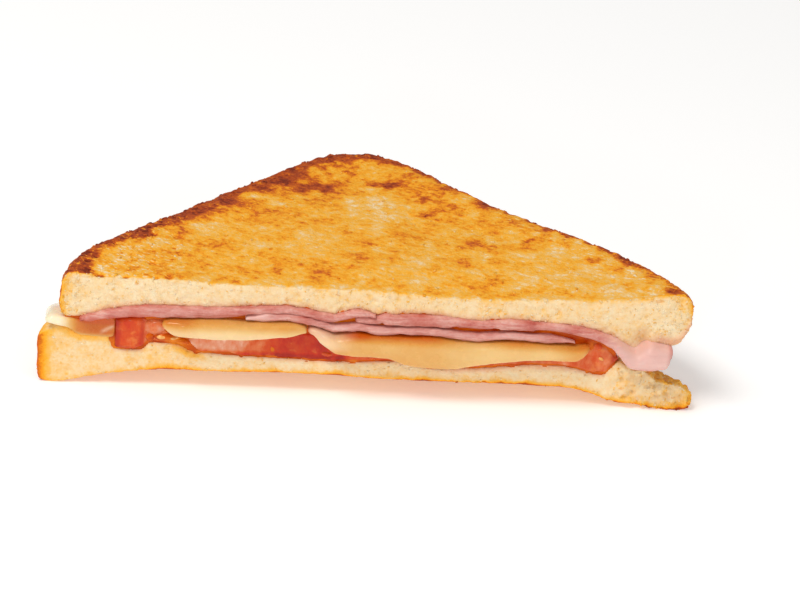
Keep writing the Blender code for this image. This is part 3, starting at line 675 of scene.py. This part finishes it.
def toasted_top(obj):
    """Shapes and colours the upper slice, and gives the weights for its flakes and its crumbs."""
    mesh = obj.data
    relax(mesh, 3)
    co, nrm, p, x, depth = measured(mesh)
    inset, from_top, above_low = slice_measures("bread_top", co)
    upward = rise(nrm[:, 2], 0.25, 0.4)
    downward = rise(-nrm[:, 2], 0.35, 0.3) * rise(inset, 1.0, 2.0)
    facing = facing_front(nrm, depth)
    side = (1 - upward) * (1 - facing) * (1 - downward)
    left_rough = fall(x, ROUGH_X, 16)
    ends = fall(x, -64, 6) + rise(x, 60, 10)

    # Relief: the toasted face, the raised rim, the crust, the crumb, and the ragged lower edge
    grain = layered(p, 1.5, 3, 3)
    lumps = layered(p, 7.0, 9, 3)
    dents = pores(p, 3.2, 5, 0.45)
    spots = layered(p, 4.5, 70, 3)
    rim_width = mix(RIM_LEFT, RIM_RIGHT, rise(x, -5, 12))
    rim = smooth((rim_width - inset + 2.6 * spots) / (0.42 * rim_width))
    crumb_relief, holes = crumb_surface(p, grain, 31)
    out = upward * (0.14 * grain + 0.2 * lumps - (0.2 + 0.5 * left_rough) * dents)
    out += (1 - facing) * rim * (0.34 * layered(p, 1.5, 24, 2) + 0.22 * layered(p, 3.5, 25, 2))
    out += side * (0.25 * lumps + 0.2 * grain - 0.3 * dents)
    out += facing * crumb_relief
    out += downward * SEAT_SWELL
    out += (1 - upward) * ends * 0.36 * layered(p, 1.5, 43, 2)
    out += fall(above_low, 2.2, 2.0) * facing * 0.45 * layered(p, 1.3, 40, 2)
    # The notch under the right end
    away = ((x - NOTCH_X) / 1.7) ** 2 + ((co[:, 2] / MM - NOTCH_Z) / 2.4) ** 2
    notch = np.exp(-away) * fall(depth, 5, 4)
    co[:, 1] += NOTCH_DEPTH * MM * notch * facing
    set_coords(mesh, co + nrm * (out * MM)[:, None])

    # How far a point is behind the wandering border between crumb and toasted face
    small = layered(p, 2.4, 75, 2)
    along = np.stack([x, 0 * x, 0 * x], axis=1)
    over = upward * depth - (1 - upward) * np.maximum(from_top, 0)
    over += 1.0 + 2.0 * layered(along, 8.0, 64, 3) + 0.9 * small
    golden = smooth(over / 3.0)

    # Browning of the toasted face: more to the back corner and the left side, in patches, and at the rim
    top = 0.39 + 0.17 * layered(p, 17.0, 60, 3) + 0.22 * spots + 0.12 * small
    top += 0.27 * fall(inset, 24, 20) * rise(depth, 34, 22) * (1 + 0.6 * spots)
    top += 0.10 * fall(inset - 4 * spots, 15, 9) * fall(x, -4, 14)
    top += patches_at(x, depth, BROWN_PATCHES, spots + small)
    top -= patches_at(x, depth, PALE_PATCHES, spots + small)
    top += mix(0.57, 0.38, rise(x, -5, 12)) * rim * (1 - 0.3 * fall(x, -60, 8))
    top = np.clip(top, 0.24, 0.84)
    top = mix(0.14, top, smooth(over / 4.5 + 0.2))
    # More browning on the coarse left part, and darker in its dents: painted shade
    top += left_rough * (0.03 + 0.12 * small + 0.32 * rise(dents, 0.3, 0.5))

    # Browning of the crust, which is pale low on the right end
    edge = 0.74 + 0.12 * spots + 0.10 * fall(inset, 1.6, 1.6) * upward
    edge = mix(edge, 0.16 + 0.1 * small, rise(x, 62, 5) * rise(from_top - 2 * small, 3, 3))

    # Browning of the cut face: cream crumb, gold at the top and by the crust
    cut = 0.06 + 0.03 * lumps + 0.05 * rise(x, -45, 30)
    cut = mix(cut, 0.30 + 0.08 * small, golden)
    crust = np.exp(-inset / 1.1) * 0.33 + 0.06 * np.exp(-inset / 4.0)
    cut += crust * (1 - 0.95 * rise(x, 50, 8) * rise(from_top - 2 * small, 2, 3))
    # Painted shade: the pores and the notch are darkened
    cut += holes + 0.06 * notch - 0.03 * rise(x, 55, 10)

    toast = mix(mix(edge, top, upward), cut, facing)
    toast = mix(toast, 0.10 + 0.03 * lumps, downward)
    stain = 0.35 * fall(above_low - 0.7 * spots, 1.6, 1.6) * facing * rise(x, -72, 6)
    stain = np.maximum(stain, 0.5 * facing * fall(above_low, 3.2, 2.5) * rise(x, 64, 3))
    attribute(mesh, "toast", np.clip(toast, 0, 1))
    attribute(mesh, "crumb", np.clip(facing * (1 - 0.8 * golden) + downward, 0, 1))
    attribute(mesh, "stain", stain)
    attribute(mesh, "flecky", 0.25 + 0.75 * left_rough + 0.5 * rise(x, 10, 20) * fall(inset, 16, 8))
    attribute(mesh, "wet", 0.25 * upward * smooth(spots + 0.2))
    return upward * np.clip(left_rough + 0.8 * rim + 0.15, 0, 1), facing * (0.5 + 2 * ends)


def toasted_bottom(obj):
    """Shapes and colours the lower slice, and gives the weights for its crumbs."""
    mesh = obj.data
    relax(mesh, 3)
    co, nrm, p, x, depth = measured(mesh)
    inset, from_top, above_low = slice_measures("bread_bottom", co)
    upward = rise(nrm[:, 2], 0.35, 0.3)
    downward = rise(-nrm[:, 2], 0.35, 0.3)
    facing = facing_front(nrm, depth)
    plain = 1 - facing
    tip = rise(x, TIP_X, 8) * fall(depth, 14, 6)

    # Relief: the toasted face and the crust, the crumb, and the torn right tip; the seat stays flat
    grain = layered(p, 1.5, 13, 3)
    lumps = layered(p, 7.0, 19, 3)
    dents = pores(p, 3.0, 15, 0.45)
    torn = layered(p, 1.6, 50, 3)
    crumb_relief, holes = crumb_surface(p, grain, 33)
    out = plain * (0.12 * grain - 0.15 * dents) * (1 - downward * fall(inset, 8, 2))
    out += plain * (1 - upward) * (1 - downward) * (0.2 * lumps + 0.1 * grain)
    out += facing * crumb_relief
    out += upward * SEAT_SWELL
    out += tip * (1 - downward) * (1.1 * torn - 0.9 * pores(p, 2.2, 51, 0.7))
    out += fall(x, -66, 6) * facing * 0.22 * layered(p, 1.4, 53, 2)
    co = co + nrm * (out * MM)[:, None]
    co[:, 2] = np.maximum(co[:, 2], 0.0)
    set_coords(mesh, co)

    # Browning of the underside, the crust, and the crumb under the filling
    spots = layered(p, 5.0, 72, 3)
    under = 0.44 + 0.14 * layered(p, 17.0, 62, 3) + 0.12 * spots + 0.3 * fall(inset, 4, 3.5)
    edge = mix(0.70 + 0.12 * spots, 0.34 + 0.2 * torn, tip)
    bed = 0.15 + 0.05 * lumps + 0.14 * tip + 0.25 * fall(inset, 2.5, 2.5) * (1 - tip) + tip * 0.2 * torn

    # Browning of the cut face: cream crumb, a gold line at its foot, and the crusts at both ends
    # The crumb's pores are painted darker, as shade in them
    cut = 0.12 + 0.03 * lumps + holes - 0.06 * rise(x, -50, 20)
    line = rise(x, -62, 16) * (1 + 0.9 * spots)
    cut += (0.12 + 0.7 * line) * np.exp(-np.maximum(above_low, 0) / (0.5 + 0.3 * spots))
    cut += fall(x, -60, 5) * (0.44 * hill(inset, 0, 1.9) + 0.12 * np.exp(-inset / 4.0))
    cut += tip * (0.06 + (0.08 + 0.16 * torn) * fall(above_low, 3.4, 3))
    cut += tip * 0.16 * np.exp(-inset / 1.5)

    toast = mix(mix(mix(edge, under, downward), bed, upward), cut, facing)
    # Melted fat soaked into the upper edge near the left corner
    soaked = 0.8 * fall(from_top - 1.4 * spots, 2.4, 2.2) * fall(depth, 6, 4)
    soaked = soaked * rise(x, -72.5, 3) * fall(x, -59.2, 1.0)
    toast = mix(toast, 0.48 + 0.1 * spots, 0.85 * soaked)
    # The brown stain under the jelly
    brown = hill(x, JELLY_STAIN_X, 3.6) * fall(from_top - 0.8 * spots, 2.4, 2.0) * facing
    toast = mix(toast, 0.62, 0.6 * brown)
    # Juice of the tomato soaked into the upper edge
    stain = fall(from_top - 0.6 * spots, 1.5, 1.5) * rise(x, 12, 10) * fall(x, 58, 6)
    stain = np.maximum(stain, 0.8 * fall(from_top, 1.0, 1.0) * rise(x, -60, 3) * fall(x, 10, 8))
    attribute(mesh, "toast", np.clip(toast, 0, 1))
    attribute(mesh, "crumb", np.clip(facing + upward + 0.7 * tip, 0, 1))
    attribute(mesh, "stain", 0.5 * stain * fall(depth, 5, 3))
    attribute(mesh, "flecky", np.full(len(x), 0.3))
    attribute(mesh, "wet", np.clip(soaked + 0.6 * brown, 0, 1))
    return facing * 0.4 + tip * rise(x, 60, 8) * 4


def scattered(name, host, weights, count, size, lift):
    """Small chips on a host piece's surface, where the weights are high, joined into one piece."""
    co, nrm = coords(host.data), normals(host.data)
    ball = bmesh.new()
    bmesh.ops.create_icosphere(ball, subdivisions=1, radius=0.5)
    unit = np.array([v.co for v in ball.verts])
    faces = [tuple(v.index for v in f.verts) for f in ball.faces]
    ball.free()
    values = {}
    for key in BREAD_MEASURES:
        found = np.empty(len(co), dtype=np.float32)
        host.data.attributes[key].data.foreach_get("value", found)
        values[key] = found
    chosen = rng.choice(len(co), count, replace=False, p=weights / weights.sum())
    points, all_faces, own = [], [], {key: [] for key in values}
    for index in chosen:
        upright = Vector(nrm[index]).to_track_quat("Z", "X").to_matrix()
        turn = upright @ Matrix.Rotation(rng.uniform(0, math.tau), 3, "Z")
        scale = rng.uniform(size[0], size[1]) * MM
        length, width, height = rng.uniform(0.8, 1.5), rng.uniform(0.5, 0.9), rng.uniform(0.35, 0.6)
        chip = unit * (scale * np.array((length, width, height)))
        chip = chip * (1 + 0.25 * rng.standard_normal((len(unit), 1)))
        chip = chip @ np.array(turn).T + co[index] + nrm[index] * lift * MM
        chip[:, 2] = np.maximum(chip[:, 2], 0.0)
        base = len(points)
        points.extend(chip)
        all_faces.extend(tuple(base + i for i in f) for f in faces)
        shade = rng.uniform(-0.18, 0.16)
        for key in values:
            own[key].extend([values[key][index] + (shade if key == "toast" else 0)] * len(unit))
    mesh = bpy.data.meshes.new(name)
    mesh.from_pydata([tuple(q) for q in points], [], all_faces)
    for key in own:
        attribute(mesh, key, np.clip(own[key], 0, 1))
    return linked(name, mesh)


def build_bread():
    top = remeshed("toast_top", "bread_top", VOXEL_BREAD)
    on_toast, on_crumb = toasted_top(top)
    shade = bread_material("toast_top")
    finished(top, shade, "bread_top")
    finished(scattered("toast_flakes", top, on_toast, FLAKES, (0.4, 1.1), 0.02), shade)
    finished(scattered("crumbs_top", top, on_crumb, CRUMBS, (0.3, 0.7), 0.0), shade)
    bottom = remeshed("toast_bottom", "bread_bottom", VOXEL_BREAD)
    on_crumb = toasted_bottom(bottom)
    shade = bread_material("toast_bottom")
    finished(bottom, shade, "bread_bottom")
    finished(scattered("crumbs_bottom", bottom, on_crumb, CRUMBS, (0.3, 0.8), 0.0), shade)


# Filling

def above_lip(co, depth):
    """How far points are above the lower edge of a piece's front, in millimetres."""
    z = co[:, 2] / MM
    return z - least_along(co, np.where(depth < 0.8, z, np.inf))


def ham_tones(node, co, x, depth, wave, hang):
    """From 0 to 1, how pale the ham is and how dark: with juice, and on the inner sheet a painted shade."""
    z = co[:, 2] / MM
    pale = np.zeros(len(x))
    dark = 0.3 * smooth(wave * 1.4 - 0.1)
    if node == "ham_left":
        up, front = above_lip(co, depth), fall(depth, 2.5, 2.5)
        dark = np.maximum(dark, 0.75 * fall(up - 0.3 * wave, 1.1, 0.7) * fall(x, -50.5, 2) * front)
        dark = np.maximum(dark, 0.6 * fall(x, -64, 4) * front)
    elif node == "ham_inner":
        # The inner sheet lies back between the others: its dark colour is painted shade of that hollow
        dark = 0.55 + 0.3 * wave
    elif node == "ham_lower":
        pale = 0.3 * smooth(0.5 - wave) + 0.6 * fall(x, -21, 5)
    else:
        pale = 0.95 * hang * (0.85 + 0.15 * wave)
        dark = np.maximum(dark * (1 - hang), 0.6 * rise(x, 68.2, 1.6))
        dark = np.maximum(dark, 0.4 * fall(z, 12.6, 0.9) * rise(x, 60, 3))
    return pale, dark


def build_ham():
    """The slices of ham, swollen a little to close the gaps, with a grain along their cut edges."""
    material = ham_material()
    for k, node in enumerate(("ham_left", "ham_inner", "ham_lower", "ham_right")):
        obj = remeshed(node + "_slice", node, VOXEL_SHEET)
        mesh = obj.data
        relax(mesh, 12 if node == "ham_right" else 4)
        co, nrm, p, x, depth = measured(mesh)
        front = fall(depth, 2.5, 2.5)
        wave = layered(p * (1, 1, 0.3), 5.0, 80 + k, 2)
        fine = layered(p * (0.5, 1, 1.6), 1.4, 90 + k, 2)
        # The flap that hangs out at the right end is smooth
        hang = rise(x, FLAP_X, 7) if node == "ham_right" else np.zeros(len(x))
        out = HAM_SWELL + front * (0.24 * fine * (1 - 0.8 * hang) + 0.1 * wave)
        if node == "ham_lower":
            out -= 0.8 * smooth((x - x.max() + 7) / 7) + 0.5 * smooth((x.min() + 5 - x) / 5)
        co = co + nrm * (out * MM)[:, None]
        co[:, 1] += front * (0.3 * wave - HAM_FORWARD) * MM
        set_coords(mesh, co)
        pale, dark = ham_tones(node, co, x, depth, wave, hang)
        attribute(mesh, "pale", np.clip(pale, 0, 1))
        attribute(mesh, "dark", np.clip(dark, 0, 1))
        finished(obj, material, node)


def spread_film(co, nrm, x, depth, front):
    """Spreads the film of melted cheese over the crumb below it, where it thins out to nothing."""
    film = rise(x, FILM_X, 3)
    co += nrm * (0.15 * film * front * MM)[:, None]
    up = above_lip(co, depth)
    skirt = film * fall(depth, 1.0, 0.6) * fall(up, 1.5, 1.2)
    co[:, 2] -= 0.5 * skirt * MM
    co[:, 0] += 0.8 * MM * rise(x, -63, 3)
    face = CUT_Y - FILM_FORWARD * MM
    co[:, 1] = np.maximum(co[:, 1], mix(co[:, 1], face, film))
    co[:, 1] = mix(co[:, 1], face, skirt)
    return film, up


def film_tones(x, z, sag, film, up):
    """The tones of the cheese at the left corner: a pale tongue, then orange fat, pink under the ham."""
    faded = film * fall(up - 0.5 * sag, 0.8, 1.0)
    shade = mix(0.05, 0.95, rise(x, -70.5, 4)) + 0.2 * sag - 0.34 * faded
    pale = np.maximum(0.95 * fall(x, -68.5, 3), 0.1 * faded)
    pink = 0.7 * film * rise(up - 0.6 * sag, 2.1, 0.9) * rise(x, -69, 4)
    # A painted highlight: a bright streak that runs down from the tomato
    across = (x - HIGHLIGHT_STREAK_X) * 0.62 - (z - HIGHLIGHT_STREAK_Z) * 0.78
    pale += 0.4 * hill(across, 0, 0.35) * fall(np.abs(x - HIGHLIGHT_STREAK_X), 1.3, 0.6)
    return shade, pale, pink


def lip_tones(node, x, z):
    """The tones of a lip of cheese: how deep the yellow is, with painted shade towards the top under the
    ham, how pale and how pink.
    """
    if node == "cheese_left":
        # Deeper orange towards the top, under the ham, is painted shade; deeper also at the left end
        shade = 0.5 * rise(z, 15.8, 2.0) + 0.3 * fall(x, -38, 6)
        return shade, 0.3 * fall(x, -14, 10) * fall(z, 16.6, 1.5), np.zeros(len(x))
    # Deeper orange towards the top, under the ham, is painted shade; deeper also towards both ends
    shade = 0.14 + 0.62 * rise(z, 14.6, 2.4) + 0.3 * rise(x, 40, 8) + 0.28 * fall(x, 24, 14)
    pale = 0.5 * fall(x, -2, 9) * rise(z, 12, 2)
    return shade, pale, 0.4 * fall(x, -13.0, 1.5) * rise(z, 14.5, 1.5)


def build_cheese():
    """The melted cheese: two lips that sag over the cut, and the tongue and film at the left corner."""
    material = cheese_material()
    for k, node in enumerate(("cheese_left", "cheese_right", "cheese_corner")):
        obj = remeshed(node + "_melt", node, VOXEL_LIP)
        mesh = obj.data
        relax(mesh, 6)
        co, nrm, p, x, depth = measured(mesh)
        front = fall(depth, 1.5, 2.0)
        sag = layered(p * (1, 1, 0.6), 9.0, 100 + k, 2)
        out = CHEESE_SWELL + front * (0.25 * sag + 0.1 * layered(p, 2.2, 105 + k, 2))
        co = co + nrm * (out * MM)[:, None]
        if node == "cheese_corner":
            film, up = spread_film(co, nrm, x, depth, front)
            tones = film_tones(x, co[:, 2] / MM, sag, film, up)
        else:
            co[:, 1] = flattened(co, LIP_REACH)
            tones = lip_tones(node, x, co[:, 2] / MM)
        set_coords(mesh, co)
        for name, values in zip(("shade", "pale", "pink"), tones):
            attribute(mesh, name, np.clip(values, 0, 1))
        finished(obj, material, node)


def tomato_tones(node, x, z, soft):
    """From 0 to 1, how pale the flesh is, and how much of it is skin."""
    if node == "tomato_left":
        wall = fall(x, -51.4, 0.8)
        flesh = mix(0.60, 0.38, wall) + 0.1 * soft
        skin = wall * (0.7 * fall(x, -56.6, 1.4) + 0.4 * rise(x, -53.0, 0.8))
        return flesh, skin + wall * 0.45 * fall(z, 10.8, 1.2)
    if node == "tomato_middle":
        flesh = mix(0.88, 0.30, rise(x + 4 * soft, -32, 12)) - 0.35 * fall(z, 10.6, 1.2)
        flesh = mix(flesh, 0.62, 0.8 * rise(x - 2 * soft, -7, 4))
        return flesh, 0.25 * rise(x, -22, 5) * fall(x, -8, 4)
    return 0.64 + 0.1 * soft, 0.7 * rise(x, 55.4, 1.2) + 0.25 * fall(x, 44, 6)


def build_tomato():
    """The slices of tomato. Gives their material, which the pulp shares."""
    material = tomato_material()
    for k, node in enumerate(("tomato_left", "tomato_middle", "tomato_right")):
        obj = remeshed(node + "_slice", node, VOXEL_TOMATO)
        mesh = obj.data
        relax(mesh, 5)
        co, nrm, p, x, depth = measured(mesh)
        soft = layered(p, 3.0, 110 + k, 3)
        tones = tomato_tones(node, x, co[:, 2] / MM, soft)
        out = TOMATO_SWELL + 0.3 * soft * fall(depth, 3, 2)
        co = co + nrm * (out * MM)[:, None]
        if node == "tomato_left":
            round_front = np.maximum(1 - ((x - BLOCK_X) / BLOCK_HALF) ** 2, 0) * fall(depth, 2, 2)
            co[:, 1] -= BLOCK_BULGE * MM * np.sqrt(round_front)
        set_coords(mesh, co)
        for name, values in zip(("flesh", "skin"), tones):
            attribute(mesh, name, np.clip(values, 0, 1))
        finished(obj, material, node)
    return material


def juice_mesh(xs, front, back):
    """A closed bar between the two slices' cut faces, from depth front to depth back."""
    _, roof = cut_profile("bread_top")
    floor, _ = cut_profile("bread_bottom")
    points = []
    for x in xs:
        world_x = place(x, 0, 0).x
        low, top = floor(world_x) / MM - 0.4, roof(world_x) / MM + 0.3
        for y in (front, back):
            points += [place(x, y, mix(low, top, k / (JUICE_ROWS - 1))) for k in range(JUICE_ROWS)]
    count = 2 * JUICE_ROWS
    ring = list(range(JUICE_ROWS)) + list(range(count - 1, JUICE_ROWS - 1, -1))
    faces = []
    for s in range(len(xs) - 1):
        for a, b in zip(ring, ring[1:] + ring[:1]):
            faces.append((s * count + a, s * count + b, (s + 1) * count + b, (s + 1) * count + a))
    for base, turn in ((0, 1), ((len(xs) - 1) * count, -1)):
        for k in range(JUICE_ROWS - 1):
            quad = (base + k, base + JUICE_ROWS + k, base + JUICE_ROWS + k + 1, base + k + 1)
            faces.append(quad[::turn])
    mesh = bpy.data.meshes.new("juice")
    mesh.from_pydata([tuple(q) for q in points], [], faces)
    work = bmesh.new()
    work.from_mesh(mesh)
    bmesh.ops.recalc_face_normals(work, faces=work.faces)
    work.to_mesh(mesh)
    work.free()
    return mesh


def build_juice():
    """Melted fat and juice that fill the small hollows between the layers, a little behind the cut."""
    mesh = juice_mesh(np.arange(JUICE_FROM, JUICE_TO, JUICE_STEP), JUICE_FRONT, JUICE_BACK)
    co = coords(mesh)
    is_front = (co[:, 1] - CUT_Y) / MM < 0.5 * (JUICE_FRONT + JUICE_BACK)
    co[:, 1] += np.where(is_front, 0.12 * layered(co / MM, 2.4, 130, 3), 0) * MM
    set_coords(mesh, co)
    material = juice_material()
    finished(linked("juice", mesh), material)
    return material


def blobs(name, items, seed):
    """Soft blobs, joined into one piece."""
    ball = bmesh.new()
    for x, depth, z, length, width, height, tilt in items:
        made = bmesh.ops.create_icosphere(ball, subdivisions=3, radius=0.5)["verts"]
        turn = Matrix.Rotation(math.radians(tilt), 3, "Y")
        middle = place(x, depth, z)
        for v in made:
            v.co = middle + turn @ Vector((v.co.x * length, v.co.y * width, v.co.z * height)) * MM
    mesh = bpy.data.meshes.new(name)
    ball.to_mesh(mesh)
    ball.free()
    co, nrm = coords(mesh), normals(mesh)
    set_coords(mesh, co + nrm * (0.16 * MM * layered(co / MM, 1.0, seed, 2))[:, None])
    return linked(name, mesh)


def build_bits(tomato, juice):
    """Pulp, jelly and seeds of the tomato, that have slipped out between the layers."""
    pulp = blobs("tomato_pulp", PULP, 140)
    co = coords(pulp.data)
    soft = layered(co / MM, 1.6, 144, 2)
    flesh = 0.62 + 0.3 * soft - 0.15 * rise(station(co[:, 0]), -20, 8)
    attribute(pulp.data, "flesh", np.clip(flesh, 0, 1))
    attribute(pulp.data, "skin", 0.25 * smooth(soft))
    finished(pulp, tomato)
    finished(blobs("tomato_jelly", JELLY, 141), juice)
    finished(blobs("tomato_seeds", SEEDS, 150), seed_material())


# Stage

def build_stage():
    mesh = bpy.data.meshes.new("floor")
    corners = [(x * FLOOR_REACH, y * FLOOR_REACH, 0) for x, y in ((-1, -1), (1, -1), (1, 1), (-1, 1))]
    mesh.from_pydata(corners, [], [(0, 1, 2, 3)])
    floor = linked("floor", mesh)
    material = bpy.data.materials.new("floor")
    material.use_nodes = True
    shader = material.node_tree.nodes["Principled BSDF"]
    shader.inputs["Base Color"].default_value = FLOOR_COLOUR
    shader.inputs["Roughness"].default_value = 0.7
    shader.inputs["Specular IOR Level"].default_value = 0.2
    shader.inputs["Emission Color"].default_value = (1.0, 1.0, 1.0, 1.0)
    shader.inputs["Emission Strength"].default_value = FLOOR_GLOW
    mesh.materials.append(material)


def area_light(name, position, size, power, colour):
    """A rectangular lamp that looks at the part."""
    data = bpy.data.lights.new(name, "AREA")
    data.shape = "RECTANGLE"
    data.size, data.size_y = size
    data.energy = power
    data.color = colour
    obj = linked(name, data)
    obj.location = position
    obj.rotation_mode = "QUATERNION"
    obj.rotation_quaternion = (Vector(LAMP_TARGET) - Vector(position)).to_track_quat("-Z", "Y")


def build_light():
    world = bpy.data.worlds.new("studio")
    bpy.context.scene.world = world
    world.use_nodes = True
    background = world.node_tree.nodes["Background"]
    background.inputs["Color"].default_value = SURROUNDINGS
    background.inputs["Strength"].default_value = SURROUNDINGS_STRENGTH
    for name, settings in LAMPS.items():
        area_light(name, *settings)
    bpy.context.scene.view_settings.view_transform = "Standard"
    bpy.context.scene.view_settings.look = "None"


def build_camera():
    az, el, roll = (math.radians(a) for a in (CAMERA_AZIMUTH, CAMERA_ELEVATION, CAMERA_ROLL))
    back = Vector((math.sin(az) * math.cos(el), -math.cos(az) * math.cos(el), math.sin(el)))
    right = Vector((math.cos(az), math.sin(az), 0))
    up = back.cross(right)
    turned_right = math.cos(roll) * right + math.sin(roll) * up
    turned_up = math.cos(roll) * up - math.sin(roll) * right
    data = bpy.data.cameras.new("camera")
    data.lens, data.sensor_width = CAMERA_LENS, CAMERA_SENSOR
    data.clip_start, data.clip_end = 0.05, 20.0
    obj = linked("camera", data)
    matrix = Matrix((turned_right, turned_up, back)).transposed().to_4x4()
    matrix.translation = place(*CAMERA_TARGET) + back * CAMERA_DISTANCE
    obj.matrix_world = matrix
    bpy.context.scene.camera = obj


build_bread()
build_ham()
build_cheese()
build_bits(build_tomato(), build_juice())
build_stage()
build_light()
build_camera()
